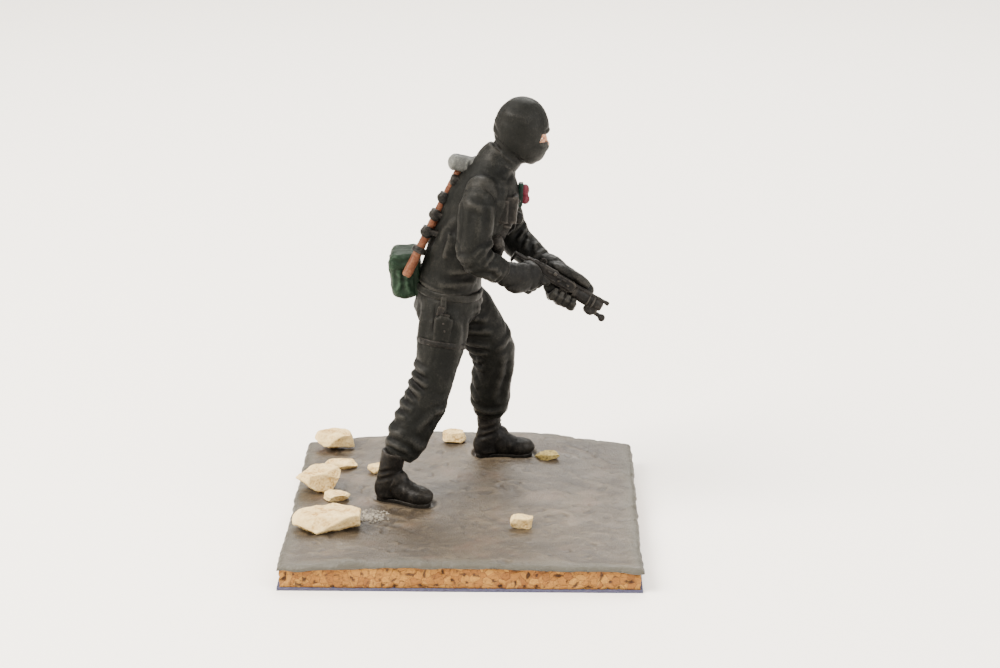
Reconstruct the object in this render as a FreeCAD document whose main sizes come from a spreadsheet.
import FreeCAD, Part

# Painted 54 mm miniature: a hooded assault trooper with a short carbine, on a scenic cork base.
#
# Millimetres.  +Z is up, the trooper looks along +X and its right side faces -Y.  The origin is the
# centre of the base's underside.  Every piece is glued to its neighbours on moulded pegs or wire
# pins, so nothing moves.

import os
import Sketcher
from FreeCAD import Placement, Rotation, Vector

doc = FreeCAD.newDocument("painted_miniature")

# ---------------------------------------------------------------- driving dimensions
SIZES = {
    # base
    "base_side": 45.0, "card_thick": 0.3, "cork_thick": 2.3, "paste_thick": 0.4, "crest_height": 2.2,
    "boulder_height": 2.6, "rock_height": 1.5, "pebble_height": 0.9, "grit_thick": 0.35,
    # body
    "chest_width": 12.8, "chest_depth": 8.4, "waist_width": 9.6, "waist_depth": 7.8,
    "seat_width": 10.4, "seat_depth": 9.4, "collar_width": 5.0, "belt_thick": 0.35, "belt_height": 1.1,
    # limbs
    "thigh_width": 6.4, "knee_width": 6.0, "calf_width": 5.5, "cuff_width": 4.3,
    "boot_width": 3.2, "boot_length": 8.6, "sole_thick": 0.7, "ankle_width": 3.5,
    "sleeve_width": 4.8, "forearm_width": 4.0, "wrist_width": 3.2, "palm_width": 4.2,
    # head
    "skull_length": 6.7, "skull_width": 5.8, "skull_height": 7.8, "jaw_length": 4.6,
    "neck_width": 4.0, "hood_thick": 0.28, "slot_height": 1.3,
    # equipment
    "bag_width": 5.6, "bag_depth": 3.0, "bag_height": 6.0, "lid_height": 1.85, "strap_thick": 0.3,
    "handle_width": 1.2, "hammer_length": 3.6, "hammer_width": 2.4, "pouch_depth": 1.3,
    "holster_height": 6.0, "holster_width": 2.6, "holster_thick": 0.9, "flare_width": 1.1,
    # carbine
    "receiver_height": 1.5, "receiver_thick": 0.95, "forend_width": 1.6, "barrel_width": 0.6,
    "muzzle_width": 1.0, "tube_width": 0.5, "stock_bar": 0.4,
    # joints
    "peg_width": 1.2, "peg_length": 1.4, "pin_width": 0.8, "pin_length": 4.4, "glue_gap": 0.04,
}
sheet = doc.addObject("Spreadsheet::Sheet", "Sizes")
for row, (alias, value) in enumerate(SIZES.items(), start=1):
    sheet.set(f"A{row}", alias)
    sheet.set(f"B{row}", str(value))
    sheet.setAlias(f"B{row}", alias)
doc.recompute()

SUBPARTS = []
X_AXIS, Y_AXIS, Z_AXIS = Vector(1, 0, 0), Vector(0, 1, 0), Vector(0, 0, 1)
BIG = 60.0        # side of the blocks that split a shape


# ---------------------------------------------------------------- helpers
def keep(obj, label):
    """Names a finished piece after the file it is written to."""
    obj.Label = label
    SUBPARTS.append(obj)
    return obj


def cell(alias, times=1.0, plus=0.0):
    """Expression for a sheet size, scaled and offset."""
    return f"Sizes.{alias} * {times} + {plus}"


def bind(obj, **expressions):
    for prop, expression in expressions.items():
        obj.setExpression(prop, expression)
    return obj


def add(kind, at, turn=None, **expressions):
    """A Part primitive with its sizes bound to the sheet."""
    obj = doc.addObject(kind, kind.split("::")[1].lower())
    obj.Placement = Placement(Vector(*at), turn or Rotation())
    return bind(obj, **expressions)


def block(low, high):
    """Plain splitting block between two corners."""
    obj = doc.addObject("Part::Box", "block")
    obj.Length, obj.Width, obj.Height = (b - a for a, b in zip(low, high))
    obj.Placement.Base = Vector(*low)
    return obj


def heading(along, wide):
    """Turn whose Z runs along a limb and whose X is its wide side."""
    return Rotation(Vector(*wide), Vector(), Vector(*along), "ZXY")


def limb(stations, wide=(1, 0, 0), along=None):
    """Solid through ellipses; a station is (centre, long width, short width) with bound widths."""
    points = [Vector(*station[0]) for station in stations]
    rings = []
    for i, (centre, long_width, short_width) in enumerate(stations):
        before, after = points[max(i - 1, 0)], points[min(i + 1, len(points) - 1)]
        turn = heading(along or (after - before), wide)
        rings.append(add("Part::Ellipse", centre, turn,
                         MajorRadius=f"({long_width}) / 2", MinorRadius=f"({short_width}) / 2"))
    solid = doc.addObject("Part::Loft", "limb")
    solid.Sections = rings
    solid.Solid = True
    return solid


def egg(at, x_width, y_width, z_width, turn=None):
    """Ellipsoid given by its three bound widths."""
    return add("Part::Ellipsoid", at, turn, Radius2=f"({x_width}) / 2",
               Radius3=f"({y_width}) / 2", Radius1=f"({z_width}) / 2")


def rod(start, end, width):
    """Round rod between two points."""
    start, end = Vector(*start), Vector(*end)
    side = X_AXIS if abs((end - start).normalize().x) < 0.9 else Y_AXIS
    obj = add("Part::Cylinder", start, heading(end - start, side), Radius=f"({width}) / 2")
    obj.Height = start.distanceToPoint(end)
    return obj


def fuse(*shapes):
    obj = doc.addObject("Part::MultiFuse", "fuse")
    obj.Shapes = list(shapes)
    return obj


def group(*shapes):
    obj = doc.addObject("Part::Compound", "group")
    obj.Links = list(shapes)
    return obj


def cut(base, *tools):
    for tool in tools:
        step = doc.addObject("Part::Cut", "cut")
        step.Base, step.Tool = base, tool
        base = step
    return base


def common(base, tool):
    obj = doc.addObject("Part::Common", "common")
    obj.Base, obj.Tool = base, tool
    return obj


def slab(outline, thickness, at, turn=None, taper=0.0, centred=False):
    """PartDesign body: a closed outline padded upwards, with drafted sides where it is cast."""
    body = doc.addObject("PartDesign::Body", "body")
    sketch = body.newObject("Sketcher::SketchObject", "outline")
    plane = next(f for f in body.Origin.OriginFeatures if f.Role == "XY_Plane")
    sketch.AttachmentSupport = [(plane, "")]
    sketch.MapMode = "FlatFace"
    corners = [Vector(x, y, 0) for x, y in outline]
    for i, corner in enumerate(corners):
        sketch.addGeometry(Part.LineSegment(corner, corners[(i + 1) % len(corners)]), False)
    for i in range(len(corners)):
        sketch.addConstraint(Sketcher.Constraint("Coincident", i, 2, (i + 1) % len(corners), 1))
    pad = body.newObject("PartDesign::Pad", "pad")
    pad.Profile = sketch
    pad.TaperAngle = taper
    pad.Midplane = centred
    bind(pad, Length=thickness)
    body.Placement = Placement(Vector(*at), turn or Rotation())
    return body


def rectangle(length, width):
    """Outline centred on its origin, with small cut corners."""
    a, b = length / 2, width / 2
    nick = min(a, b) * 0.25
    return [(-a + nick, -b), (a - nick, -b), (a, -b + nick), (a, b - nick),
            (a - nick, b), (-a + nick, b), (-a, b - nick), (-a, -b + nick)]


def pouch(at, length, height, turn, depth="pouch_depth", taper=-6.0):
    """Cast pouch: its back lies on the body and its front is drafted."""
    return slab(rectangle(length, height), cell(depth), at, turn, taper)


# ---------------------------------------------------------------- where things stand
MID_Y = 7.5                     # the trooper's middle plane
WAIST_Z = 30.2                  # where the trunk meets the trousers
CORK_TOP = SIZES["card_thick"] + SIZES["cork_thick"]
PASTE_TOP = CORK_TOP + SIZES["paste_thick"]
HALF_BASE = SIZES["base_side"] / 2
LEVEL_FRONT = -6.0              # the paste is level in front of this line and climbs behind it
CREST = [(-22.5, 0.15), (-14.0, 0.6), (-2.0, 0.95), (4.0, 1.0), (12.0, 0.75), (18.0, 0.4), (22.5, 0.1)]


def ground_z(x, y):
    """Height of the painted ground: level in front, a low bank along the back."""
    share = 0.0
    for (x0, s0), (x1, s1) in zip(CREST, CREST[1:]):
        if x0 <= x <= x1:
            share = s0 + (s1 - s0) * (x - x0) / (x1 - x0)
    climb = max(0.0, (y - LEVEL_FRONT) / (HALF_BASE - LEVEL_FRONT))
    return PASTE_TOP + climb * share * SIZES["crest_height"]


# ---------------------------------------------------------------- boots
RIGHT_HEEL, RIGHT_TURN = (-11.9, 1.5, ground_z(-8, 0) - 0.3), -25.0
LEFT_HEEL, LEFT_TURN = (0.6, 14.9, ground_z(5, 15) - 0.5), 2.0


def boot(heel, turn, lean):
    """Laced boot: a sole pad and a rounded upper, pointing along +X before it is turned."""
    half, length = SIZES["boot_width"] / 2, SIZES["boot_length"]
    edge = [(0.0, 0.5), (0.4, 0.75), (0.28 * length, 0.8), (0.42 * length, 0.72), (0.65 * length, 1.0),
            (0.84 * length, 0.95), (0.96 * length, 0.6), (length, 0.2)]
    outline = [(x, -k * half) for x, k in edge] + [(x, k * half) for x, k in reversed(edge)]
    sole = slab(outline, cell("sole_thick"), (0, 0, 0))
    toe = egg((6.2, 0, 1.3), cell("boot_length", 0.55), cell("boot_width", 0.94), "2.5")
    instep = egg((4.1, 0, 1.9), cell("boot_length", 0.6), cell("boot_width", 0.86), "3.2",
                 Rotation(Y_AXIS, 24))
    heel_cup = egg((1.75, 0, 1.7), "3.3", cell("boot_width", 0.84), "4.0")
    shaft = limb([((2.1, 0, 1.0), cell("ankle_width"), cell("ankle_width", 0.8)),
                  ((2.3, 0, 3.6), cell("ankle_width"), cell("ankle_width", 0.82)),
                  ((2.3 + lean, 0, 7.2), cell("ankle_width", 0.92), cell("ankle_width", 0.84))])
    upper = common(fuse(toe, instep, heel_cup, shaft), block((-3, -5, 0.2), (14, 5, 12)))
    whole = fuse(sole, upper)
    whole.Placement = Placement(Vector(*heel), Rotation(Z_AXIS, turn))
    return whole


def boot_point(heel, turn, x, z):
    """A point of a boot, from its distance ahead of the heel and above the sole."""
    return tuple(Vector(*heel) + Rotation(Z_AXIS, turn).multVec(Vector(x, 0, z)))


boots, pins, pin_holes = {}, {}, {}
for side, heel, turn, lean in (("right", RIGHT_HEEL, RIGHT_TURN, 0.5), ("left", LEFT_HEEL, LEFT_TURN, -0.2)):
    pin_top = boot_point(heel, turn, 3.0, 1.9)
    pin_foot = (pin_top[0], pin_top[1], pin_top[2] - SIZES["pin_length"])
    pins[side] = rod(pin_foot, pin_top, cell("pin_width"))
    hole_foot = (pin_foot[0], pin_foot[1], pin_foot[2] - SIZES["glue_gap"])
    hole_top = (pin_top[0], pin_top[1], pin_top[2] + SIZES["glue_gap"])
    pin_holes[side] = rod(hole_foot, hole_top, "Sizes.pin_width + 2 * Sizes.glue_gap")
    boots[side] = cut(boot(heel, turn, lean), pin_holes[side])
    keep(boots[side], f"boot_{side}")
    keep(pins[side], f"boot_pin_{side}")

# ---------------------------------------------------------------- rocks on the base
# name: (x, y, turn, height cell, outline)
ROCKS = {
    "rock_back_left": (-18.8, 19.0, 5, "rock_height",
                       [(-2.7, -0.8), (-1.6, -1.6), (0.4, -1.3), (2.4, -1.7), (3.0, -0.2), (1.8, 1.5),
                        (-1.4, 1.7)]),
    "rock_boulder_left": (-19.6, 4.2, 12, "boulder_height",
                          [(-2.5, -1.6), (-0.4, -2.4), (2.0, -2.0), (2.7, 0.2), (1.4, 2.2), (-1.3, 2.5),
                           (-2.6, 0.8)]),
    "rock_flat_left": (-17.3, 11.5, -8, "pebble_height",
                       [(-1.8, -0.7), (-0.2, -1.2), (1.7, -0.9), (2.1, 0.3), (0.5, 1.2), (-1.5, 0.9)]),
    "rock_small_left": (-17.0, 0.4, 0, "pebble_height",
                        [(-1.5, -0.6), (0.1, -1.1), (1.6, -0.5), (1.4, 0.6), (-0.2, 1.1), (-1.4, 0.5)]),
    "rock_slab_front": (-17.5, -9.2, -6, "rock_height",
                        [(-4.0, -1.6), (-2.2, -2.9), (1.8, -1.9), (4.3, 0.3), (4.0, 2.2), (0.6, 2.4),
                         (-2.8, 1.7)]),
    "rock_behind_heel": (-12.4, 9.4, 20, "pebble_height",
                         [(-1.1, -0.6), (0.2, -1.0), (1.2, -0.3), (0.9, 0.8), (-0.7, 0.9)]),
    "rock_small_back": (-2.3, 18.6, 15, "rock_height",
                        [(-1.5, -0.8), (0.3, -1.3), (1.6, -0.4), (1.2, 1.0), (-0.7, 1.2)]),
    "rock_by_toe": (10.8, 13.6, -5, "pebble_height",
                    [(-1.5, -0.6), (0.1, -1.0), (1.6, -0.4), (1.2, 0.7), (-0.9, 0.8)]),
    "rock_small_front": (7.4, -8.4, 8, "rock_height",
                         [(-1.3, -0.6), (0.0, -1.2), (1.4, -0.5), (1.1, 0.8), (-0.6, 1.1)]),
}
rocks = []
SUNK = 0.25                     # how deep a rock sits in the paste
for name, (x, y, turn, height, outline) in ROCKS.items():
    foot = (x, y, ground_z(x, y) - SUNK)
    rocks.append(keep(slab(outline, cell(height, 1.0, SUNK), foot, Rotation(Z_AXIS, turn), -18.0), name))
GRIT = [(-2.4, -1.0), (-0.9, -2.0), (1.2, -1.5), (2.5, -0.1), (1.7, 1.6), (-0.4, 2.3), (-2.1, 1.2)]
grit = slab(GRIT, cell("grit_thick", 1.0, 0.2), (-12.0, -5.4, ground_z(-12, -5.4) - 0.2), None, -20.0)
keep(cut(grit, rocks[4]), "grit_patch")

# ---------------------------------------------------------------- base
corner = (-HALF_BASE, -HALF_BASE, 0)
card = add("Part::Box", corner, Length="Sizes.base_side", Width="Sizes.base_side", Height="Sizes.card_thick")
keep(card, "base_card")
cork = add("Part::Box", corner, Length="Sizes.base_side", Width="Sizes.base_side", Height="Sizes.cork_thick")
cork.setExpression("Placement.Base.z", "Sizes.card_thick")
keep(cut(cork, pin_holes["right"], pin_holes["left"]), "cork_slab")
ribs = []
for x, share in CREST:
    rib = doc.addObject("Part::Polygon", "rib")
    rib.Nodes = [Vector(x, -HALF_BASE, CORK_TOP), Vector(x, -HALF_BASE, PASTE_TOP),
                 Vector(x, LEVEL_FRONT, PASTE_TOP), Vector(x, HALF_BASE, ground_z(x, HALF_BASE)),
                 Vector(x, HALF_BASE, CORK_TOP)]
    rib.Close = True
    ribs.append(rib)
bank = doc.addObject("Part::Loft", "bank")
bank.Sections = ribs
bank.Solid = True
bank.Ruled = True
keep(cut(bank, *boots.values(), *pin_holes.values(), *rocks, grit), "groundwork")

# ---------------------------------------------------------------- trousers
seat = limb([((-2.0, MID_Y, 31.6), cell("waist_width"), cell("waist_depth")),
             ((-2.3, MID_Y, 29.4), cell("seat_width", 0.98), cell("seat_depth", 0.96)),
             ((-2.3, MID_Y, 27.4), cell("seat_width"), cell("seat_depth", 0.97)),
             ((-1.9, MID_Y, 25.2), cell("seat_width", 0.86), cell("seat_depth", 0.7)),
             ((-1.4, MID_Y, 24.4), cell("seat_width", 0.5), cell("seat_depth", 0.3))],
            wide=(0, 1, 0), along=(0, 0, 1))
leg_right = limb([((-2.8, 5.0, 29.2), cell("thigh_width"), cell("thigh_width", 0.78)),
                  ((-2.9, 4.3, 26.2), cell("thigh_width", 1.03), cell("thigh_width", 0.9)),
                  ((-3.3, 3.8, 23.0), cell("thigh_width", 0.93), cell("thigh_width", 0.86)),
                  ((-4.0, 3.2, 19.4), cell("thigh_width", 0.82), cell("thigh_width", 0.8)),
                  ((-5.6, 2.6, 16.2), cell("knee_width"), cell("knee_width", 0.84)),
                  ((-6.8, 2.0, 13.5), cell("calf_width", 1.04), cell("calf_width", 0.9)),
                  ((-7.8, 1.4, 11.1), cell("calf_width", 0.97), cell("calf_width", 0.88)),
                  ((-8.6, 0.9, 9.1), cell("cuff_width"), cell("cuff_width", 0.92))])
leg_left = limb([((-1.4, 10.2, 29.0), cell("thigh_width"), cell("thigh_width", 0.76)),
                 ((0.6, 10.9, 26.2), cell("thigh_width", 1.05), cell("thigh_width", 0.88)),
                 ((2.5, 11.5, 22.7), cell("thigh_width", 0.98), cell("thigh_width", 0.86)),
                 ((3.7, 12.3, 19.6), cell("knee_width", 0.98), cell("knee_width", 0.84)),
                 ((3.4, 13.0, 16.4), cell("calf_width", 0.98), cell("calf_width", 0.88)),
                 ((3.0, 13.5, 13.4), cell("calf_width"), cell("calf_width", 0.9)),
                 ((3.1, 14.2, 10.7), cell("cuff_width"), cell("cuff_width", 0.92))])
GLUE = SIZES["glue_gap"]
peg_low, peg_high = (-2.4, MID_Y - 1.0, 28.0), (-2.4, MID_Y + SIZES["peg_length"], 28.0)
pelvis_peg = rod(peg_low, peg_high, cell("peg_width"))
pelvis_socket = rod(peg_low, (-2.4, peg_high[1] + GLUE, 28.0), cell("peg_width", 1.0, 2 * GLUE))
waist_low, waist_high = (-2.0, MID_Y, WAIST_Z - 1.2), (-2.0, MID_Y, WAIST_Z + 1.2)
waist_peg = rod(waist_low, waist_high, cell("peg_width", 1.5))
waist_socket = rod((-2.0, MID_Y, waist_low[2] - GLUE), waist_high, cell("peg_width", 1.5, 2 * GLUE))
under_waist = block((-BIG, -BIG, 0), (BIG, BIG, WAIST_Z))
over_waist = block((-BIG, -BIG, WAIST_Z), (BIG, BIG, BIG))
right_half = block((-BIG, -BIG, 0), (BIG, MID_Y, BIG))
left_half = block((-BIG, MID_Y, 0), (BIG, BIG, BIG))
right_cloth = common(common(fuse(seat, leg_right), under_waist), right_half)
left_cloth = common(common(fuse(seat, leg_left), under_waist), left_half)
trousers_right = keep(cut(fuse(right_cloth, pelvis_peg), boots["right"], waist_socket), "trousers_right")
trousers_left = keep(cut(left_cloth, boots["left"], waist_socket, pelvis_socket), "trousers_left")

# ---------------------------------------------------------------- trunk
SHOULDER_PLANE = 4.7            # the arms join the trunk this far from the middle plane
ARMPIT_Z = 39.0                 # and above this height
trunk_loft = limb([((-2.3, MID_Y, 29.4), cell("waist_width", 1.02), cell("waist_depth", 1.05)),
                   ((-1.9, MID_Y, 32.0), cell("waist_width"), cell("waist_depth")),
                   ((-1.0, MID_Y, 35.0), cell("waist_width", 1.03), cell("waist_depth", 1.05)),
                   ((0.6, MID_Y, 38.0), cell("chest_width", 0.86), cell("chest_depth", 1.07)),
                   ((2.1, MID_Y, 41.0), cell("chest_width", 0.95), cell("chest_depth", 1.14)),
                   ((3.0, MID_Y, 43.5), cell("chest_width"), cell("chest_depth", 1.07)),
                   ((3.5, MID_Y, 45.6), cell("chest_width", 0.78), cell("chest_depth", 0.84)),
                   ((4.1, MID_Y, 47.2), cell("collar_width"), cell("collar_width", 0.94)),
                   ((4.4, MID_Y, 48.2), cell("collar_width", 0.84), cell("collar_width", 0.8))],
                  wide=(0, 1, 0), along=(0, 0, 1))
flanks = block((-BIG, MID_Y - SHOULDER_PLANE, 0), (BIG, MID_Y + SHOULDER_PLANE, BIG))
trunk_cast = common(common(trunk_loft, flanks), over_waist)
neck_low, neck_high = (4.4, MID_Y, 46.2), (5.9, MID_Y, 49.6)
neck_hole = rod((4.36, MID_Y, 46.1), neck_high, cell("peg_width", 2.0, 2 * GLUE))

# ---------------------------------------------------------------- arms
RIGHT_SHOULDER, RIGHT_ELBOW, RIGHT_WRIST = (1.8, 2.4, 43.4), (1.1, 0.7, 36.2), (4.9, 2.8, 33.7)
LEFT_SHOULDER, LEFT_ELBOW, LEFT_WRIST = (3.6, 13.2, 42.8), (6.1, 13.3, 35.4), (10.1, 10.1, 32.7)


def between(start, end, share):
    return tuple(a + (b - a) * share for a, b in zip(start, end))


def sleeve(shoulder, elbow, wrist):
    """One sleeve from the rounded shoulder through the bent elbow to the cuff."""
    full, fore, cuff = "sleeve_width", "forearm_width", "wrist_width"
    return limb([(between(shoulder, elbow, -0.28), cell(full, 0.5), cell(full, 0.42)),
                 (between(shoulder, elbow, -0.12), cell(full, 0.86), cell(full, 0.74)),
                 (between(shoulder, elbow, 0.12), cell(full, 1.02), cell(full, 0.88)),
                 (between(shoulder, elbow, 0.5), cell(full), cell(full, 0.86)),
                 (between(shoulder, elbow, 0.85), cell(full, 0.95), cell(full, 0.84)),
                 (between(elbow, wrist, 0.2), cell(fore, 1.1), cell(fore, 0.98)),
                 (between(elbow, wrist, 0.6), cell(fore, 0.98), cell(fore, 0.9)),
                 (wrist, cell(cuff), cell(cuff, 0.92))])


def glove(wrist, palm, knuckles, tips):
    """Closed fist: a cuff stub in the sleeve, a palm and rolled fingers."""
    cuff = limb([(between(wrist, palm, -0.3), cell("wrist_width", 0.72), cell("wrist_width", 0.66)),
                 (between(wrist, palm, 0.6), cell("wrist_width", 0.95), cell("wrist_width", 0.85))],
                wide=(0, 0, 1))
    turn = heading(Vector(*knuckles) - Vector(*palm), (0, 0, 1))
    hand = egg(palm, cell("palm_width", 0.9), cell("palm_width", 0.74), cell("palm_width", 1.1), turn)
    fist = egg(knuckles, cell("palm_width", 0.84), cell("palm_width", 0.7), cell("palm_width", 0.9), turn)
    fingers = egg(tips, cell("palm_width", 0.7), cell("palm_width", 0.6), cell("palm_width", 0.62), turn)
    return fuse(cuff, hand, fist, fingers)


arm_pegs, arm_sockets = {}, {}
for side, x, sign in (("right", 2.2, -1), ("left", 3.6, 1)):
    plane_y = MID_Y + sign * SHOULDER_PLANE
    inner = plane_y - sign * SIZES["peg_length"]
    outer = plane_y + sign * 1.2
    arm_pegs[side] = rod((x, inner, 42.8), (x, outer, 42.8), cell("peg_width"))
    arm_sockets[side] = rod((x, inner - sign * GLUE, 42.8), (x, outer, 42.8), cell("peg_width", 1.0, 2 * GLUE))
torso = cut(fuse(trunk_cast, waist_peg), arm_sockets["right"], arm_sockets["left"], neck_hole)
keep(torso, "torso")
right_sleeve = cut(sleeve(RIGHT_SHOULDER, RIGHT_ELBOW, RIGHT_WRIST),
                   block((-BIG, MID_Y - SHOULDER_PLANE, ARMPIT_Z), (BIG, BIG, BIG)), trunk_cast)
left_sleeve = cut(sleeve(LEFT_SHOULDER, LEFT_ELBOW, LEFT_WRIST),
                  block((-BIG, -BIG, ARMPIT_Z), (BIG, MID_Y + SHOULDER_PLANE, BIG)), trunk_cast)
glove_right = glove(RIGHT_WRIST, (7.0, 3.5, 32.9), (8.4, 4.3, 33.1), (8.7, 5.6, 33.3))
glove_left = glove(LEFT_WRIST, (12.7, 8.3, 32.2), (14.3, 7.6, 31.3), (13.4, 6.0, 30.3))

# ---------------------------------------------------------------- carbine
GUN_DIP, GUN_SWING = 31.0, 4.5  # it points this far below level, and this far to the trooper's left
GUN_REAR = Vector(8.0, 6.1, 34.9)
GUN_TURN = Rotation(Z_AXIS, GUN_SWING).multiply(Rotation(Y_AXIS, GUN_DIP))
SIDE_ON = GUN_TURN.multiply(Rotation(X_AXIS, 90))       # for an outline drawn in its side view


def gun(ahead, up, across=0.0):
    """A point of the carbine: distance ahead of its rear end, above its top line and to its left."""
    return tuple(GUN_REAR + GUN_TURN.multVec(Vector(ahead, across, up)))


def gun_plate(outline, thickness, ahead, up):
    """A piece cut from plate, standing in the carbine's middle plane."""
    return slab(outline, thickness, gun(ahead, up), SIDE_ON, 0.0, True)


TOP_LINE = 0.15
belly_line = TOP_LINE - SIZES["receiver_height"]
receiver = gun_plate([(0.0, -0.1), (0.25, TOP_LINE), (7.2, TOP_LINE), (7.6, -0.1), (7.6, -1.15),
                      (7.1, belly_line), (3.1, belly_line), (2.6, -1.1), (0.2, -1.1), (0.0, -0.9)],
                     cell("receiver_thick"), 0, 0)
tube = rod(gun(7.2, -0.16), gun(12.6, -0.16), cell("tube_width"))
forend = limb([(gun(7.6, -1.0), cell("forend_width", 0.8), cell("forend_width", 0.7)),
               (gun(8.4, -1.0), cell("forend_width"), cell("forend_width", 0.8)),
               (gun(11.4, -1.0), cell("forend_width"), cell("forend_width", 0.8)),
               (gun(12.0, -1.0), cell("forend_width", 0.75), cell("forend_width", 0.62))], wide=(0, 0, 1))
barrel = fuse(rod(gun(10.4, -1.95), gun(12.6, -2.15), cell("barrel_width")),
              egg(gun(12.75, -2.2), cell("muzzle_width"), cell("muzzle_width"), cell("muzzle_width")))
front_sight = gun_plate([(-0.8, -1.1), (0.4, -1.3), (0.9, -0.5), (0.5, 0.3), (-0.4, 0.3)],
                        cell("receiver_thick", 0.8), 10.9, -1.3)
sight_ring = cut(rod(gun(2.2, 0.5, -0.3), gun(2.2, 0.5, 0.3), "0.95"),
                 rod(gun(2.2, 0.5, -0.5), gun(2.2, 0.5, 0.5), "0.4"))
magazine = gun_plate([(-0.55, 0.05), (0.55, 0.05), (0.8, -1.2), (1.1, -2.1), (0.0, -2.3), (-0.3, -1.2)],
                     cell("receiver_thick", 0.7), 6.4, -1.35)
grip = gun_plate([(-0.5, 0.05), (0.5, 0.05), (0.1, -2.2), (-0.9, -2.0)], cell("receiver_thick", 0.8), 2.0, -1.1)
stock = fuse(rod(gun(-1.7, -0.3, 0.28), gun(0.05, -0.3, 0.28), cell("stock_bar")),
             rod(gun(-1.7, -0.3, -0.28), gun(0.05, -0.3, -0.28), cell("stock_bar")),
             gun_plate(rectangle(0.5, 2.0), cell("receiver_thick"), -1.8, -0.7))
receiver_cast = cut(receiver, tube)
forend_cast = cut(forend, tube, receiver_cast)
sight_cast = cut(front_sight, forend_cast, tube)
barrel_cast = cut(barrel, forend_cast, sight_cast)
gun_pieces = {
    "gun_receiver": receiver_cast, "gun_upper_tube": tube, "gun_forend": forend_cast,
    "gun_front_sight": sight_cast, "gun_barrel": barrel_cast, "gun_rear_sight": cut(sight_ring, receiver_cast),
    "gun_magazine": cut(magazine, receiver_cast), "gun_grip": cut(grip, receiver_cast),
    "gun_stock": cut(stock, receiver_cast),
}
for name, piece in gun_pieces.items():
    keep(piece, name)
whole_gun = group(*gun_pieces.values())
glove_right_cast = keep(cut(glove_right, whole_gun), "glove_right")
glove_left_cast = keep(cut(glove_left, whole_gun), "glove_left")
keep(fuse(cut(right_sleeve, glove_right_cast), arm_pegs["right"]), "arm_right")
keep(fuse(cut(left_sleeve, glove_left_cast), arm_pegs["left"]), "arm_left")

# ---------------------------------------------------------------- head and hood
HEAD = (7.2, MID_Y, 51.7)
NOD = Rotation(Y_AXIS, 6)       # the head looks slightly down


def head_point(ahead, left, up):
    return tuple(Vector(*HEAD) + NOD.multVec(Vector(ahead, left, up)))


def head_shape(grow):
    """Skull, jaw and neck, all wider by the same allowance."""
    skull = egg(HEAD, cell("skull_length", 1, grow), cell("skull_width", 1, grow),
                cell("skull_height", 1, grow), NOD)
    jaw = egg(head_point(1.1, 0, -2.1), cell("jaw_length", 1, grow), cell("skull_width", 0.76, grow),
              cell("skull_height", 0.62, grow), NOD)
    neck = limb([((4.6, MID_Y, 47.0), cell("neck_width", 1, grow), cell("neck_width", 0.95, grow)),
                 ((5.4, MID_Y, 48.4), cell("neck_width", 0.95, grow), cell("neck_width", 0.92, grow)),
                 ((6.4, MID_Y, 50.2), cell("neck_width", 1, grow), cell("neck_width", 0.98, grow))],
                wide=(0, 1, 0))
    return fuse(skull, jaw, neck)


nose = egg(head_point(3.1, 0, -1.5), "1.0", "0.9", "1.9", Rotation(Y_AXIS, -12))
brow = egg(head_point(2.7, 0, 0.1), "1.0", "3.6", "0.7", NOD)
nose_cover = egg(head_point(3.1, 0, -1.6), cell("hood_thick", 2, 1.0), cell("hood_thick", 2, 0.9),
                 cell("hood_thick", 2, 1.9), Rotation(Y_AXIS, -12))
slot = add("Part::Box", head_point(1.5, -2.1, -1.4), NOD, Height="Sizes.slot_height")
slot.Length, slot.Width = 4.0, 4.2
neck_peg = rod(neck_low, neck_high, cell("peg_width", 2.0))
face = keep(cut(fuse(head_shape(0.0), nose, brow, neck_peg), torso), "head_face")
keep(cut(fuse(head_shape(2 * SIZES["hood_thick"]), nose_cover), slot, face, torso), "balaclava")

# ---------------------------------------------------------------- webbing and pouches
figure = (trunk_cast, trousers_right, trousers_left)
BELT_LOW, AROUND = 29.7, 2 * SIZES["belt_thick"]
belt_high = BELT_LOW + SIZES["belt_height"]
belt_foot = ((-2.25, MID_Y, BELT_LOW), cell("seat_width", 0.97, AROUND), cell("waist_depth", 1.1, AROUND))
belt_rim = ((-2.1, MID_Y, belt_high), cell("waist_width", 1.02, AROUND), cell("waist_depth", 1.04, AROUND))
belt_loft = limb([belt_foot, belt_rim],
                 wide=(0, 1, 0), along=(0, 0, 1))
belt = keep(cut(belt_loft, seat, trunk_loft, leg_right, leg_left), "belt")
FRONT = Rotation(Vector(0, 1, 0), Vector(), Vector(1, 0, 0), "ZXY")     # outline faces forward
BACK = Rotation(Vector(0, -1, 0), Vector(), Vector(-1, 0, 0), "ZXY")    # outline faces backward
RIGHT = Rotation(Vector(1, 0, 0), Vector(), Vector(0, -1, 0), "ZXY")    # outline faces the right side


def lean(turn, degrees):
    """The same facing, tipped about the sideways axis to follow the body."""
    return Rotation(Y_AXIS, degrees).multiply(turn)


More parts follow.
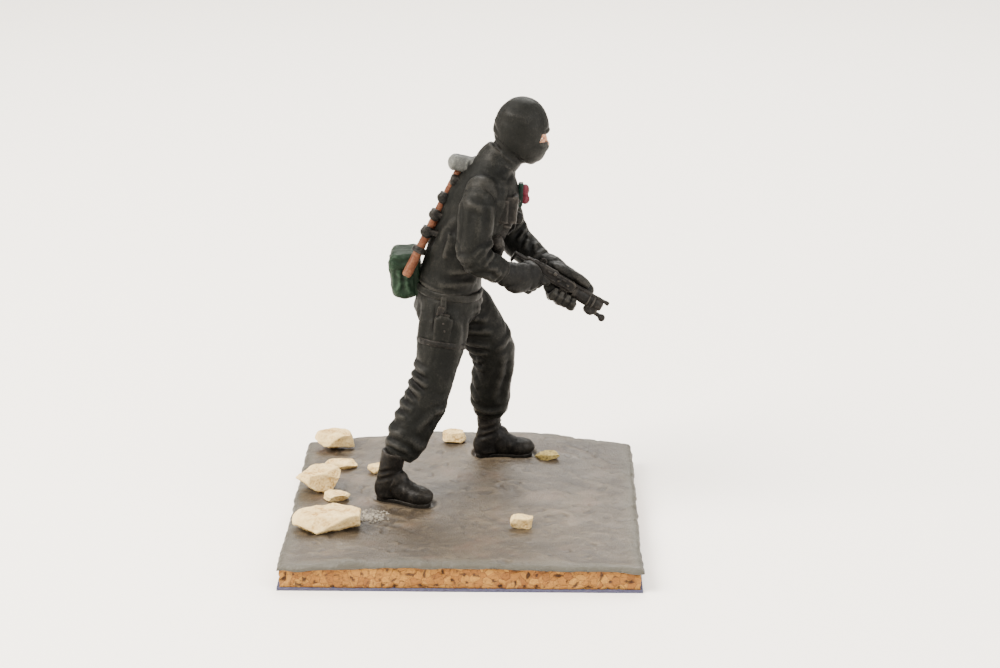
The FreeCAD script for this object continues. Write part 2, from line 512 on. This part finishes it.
chest_pouch = keep(cut(pouch((5.9, 4.7, 41.6), 2.6, 3.4, lean(FRONT, 3)), trunk_cast), "chest_pouch")
holder_strip = slab(rectangle(1.4, 3.0), cell("strap_thick", 1.0, 0.5), (7.1, 7.5, 42.9), lean(FRONT, 2))
holder = cut(holder_strip, trunk_cast)
keep(holder, "flare_holder")
flares = cut(fuse(egg((8.0, 7.5, 43.6), cell("flare_width"), cell("flare_width"), cell("flare_width", 1.25)),
                  egg((8.0, 7.5, 42.3), cell("flare_width"), cell("flare_width"), cell("flare_width", 1.25))),
             holder, trunk_cast)
keep(flares, "flares_red")
keep(cut(egg((6.7, 7.2, 39.8), "1.7", "1.5", "1.9", Rotation(Z_AXIS, 20)), trunk_cast), "press_switch")
canister = cut(rod((3.9, 5.0, 37.3), (5.2, 5.0, 40.0), "1.9"), trunk_cast, chest_pouch)
keep(canister, "canister_pouch")
belly_near = cut(pouch((2.6, 5.4, 35.4), 2.5, 3.6, lean(FRONT, 20), taper=-4.0), trunk_cast, canister)
keep(belly_near, "belly_pouch_right")
belly_far = cut(pouch((3.0, 8.4, 35.6), 2.7, 3.6, lean(FRONT, 20), taper=-4.0), trunk_cast, belly_near)
keep(belly_far, "belly_pouch_left")

# haversack on the small of the back: body, lid and two straps
BAG = (-6.7, 8.5, 32.2)
BAG_TURN = lean(BACK, -4)


def bag_point(out, up):
    return tuple(Vector(*BAG) + Rotation(Y_AXIS, -4).multVec(Vector(-out, 0, up)))


bag_side = rectangle(SIZES["bag_width"], SIZES["bag_height"])
lid_side = rectangle(SIZES["bag_width"] + 0.3, SIZES["lid_height"])
bag_cast = slab(bag_side, cell("bag_depth"), BAG, BAG_TURN, -3.0)
lid_cast = slab(lid_side, cell("bag_depth", 1.0, 0.3), bag_point(-0.1, 2.42), BAG_TURN, -3.0)
haversack = cut(bag_cast, lid_cast, *figure, belt)
keep(haversack, "haversack")
lid = keep(cut(lid_cast, *figure, belt), "haversack_lid")

# sledgehammer carried head up down the back, under four webbing loops
HANDLE_TOP, HANDLE_FOOT = Vector(-0.9, 7.6, 46.0), Vector(-7.7, 4.7, 32.6)
handle = rod(HANDLE_FOOT, HANDLE_TOP, cell("handle_width"))
HAMMER = (-0.3, 7.6, 47.0)
ACROSS = heading((0.97, 0, -0.22), (0, 0, 1))
nick = 0.45
half = SIZES["hammer_width"] / 2
hammer_face = [(-half, -half + nick), (-half + nick, -half), (half - nick, -half), (half, -half + nick),
               (half, half - nick), (half - nick, half), (-half + nick, half), (-half, half - nick)]
hammer_head = slab(hammer_face, cell("hammer_length"), HAMMER, ACROSS, 0.0, True)
hammer_cast = cut(hammer_head, trunk_cast)
keep(hammer_cast, "hammer_head")
keep(cut(handle, hammer_cast, *figure, haversack, lid, belt), "hammer_handle")
loops = []
for share in (0.25, 0.44, 0.6, 0.76):
    centre = HANDLE_FOOT + (HANDLE_TOP - HANDLE_FOOT) * share
    tip = (HANDLE_TOP - HANDLE_FOOT).normalize() * 0.45
    ring = cut(rod(centre - tip, centre + tip, cell("handle_width", 1.0, 1.0)), handle)
    loops.append(cut(ring, trunk_cast, haversack, lid))
keep(group(*loops), "hammer_loops")

# drop-leg holster on the right thigh, with its pistol
HOLSTER = (-3.2, 1.2, 25.6)
HOLSTER_TURN = Rotation(Y_AXIS, 6).multiply(RIGHT)
holster_side = rectangle(SIZES["holster_width"], SIZES["holster_height"])
holster_cast = slab(holster_side, cell("holster_thick", 1.0, 1.2), HOLSTER, HOLSTER_TURN, -5.0)
holster = cut(holster_cast, trousers_right, belt)
keep(holster, "thigh_holster")
pistol_grip = slab([(-0.7, 0.0), (0.5, 0.0), (0.2, 1.7), (-1.0, 1.5)], "0.8", (-3.0, 0.9, 28.5), HOLSTER_TURN)
keep(cut(pistol_grip, holster, trousers_right, belt, trunk_cast), "pistol")
strap_loft = limb([((-3.36, 3.92, 23.9), cell("thigh_width", 0.97, 0.7), cell("thigh_width", 0.87, 0.7)),
                   ((-3.14, 4.08, 24.7), cell("thigh_width", 0.98, 0.7), cell("thigh_width", 0.88, 0.7))])
keep(cut(common(strap_loft, right_half), trousers_right, trousers_left, holster), "holster_strap")

# ---------------------------------------------------------------- check and write
doc.recompute()
bad = [o.Label for o in doc.Objects if {"Invalid", "Error"} & set(o.State)]
bad += [o.Label for o in SUBPARTS if o.Shape.isNull() or not o.Shape.isValid() or not o.Shape.Solids]
if bad:
    raise SystemExit(f"failed objects: {bad}")
os.makedirs("parts", exist_ok=True)
for piece in SUBPARTS:
    piece.Shape.exportStep(f"parts/{piece.Label}.step")
    print(piece.Label, len(piece.Shape.Solids), round(piece.Shape.Volume, 2))
print(len(SUBPARTS), "pieces")
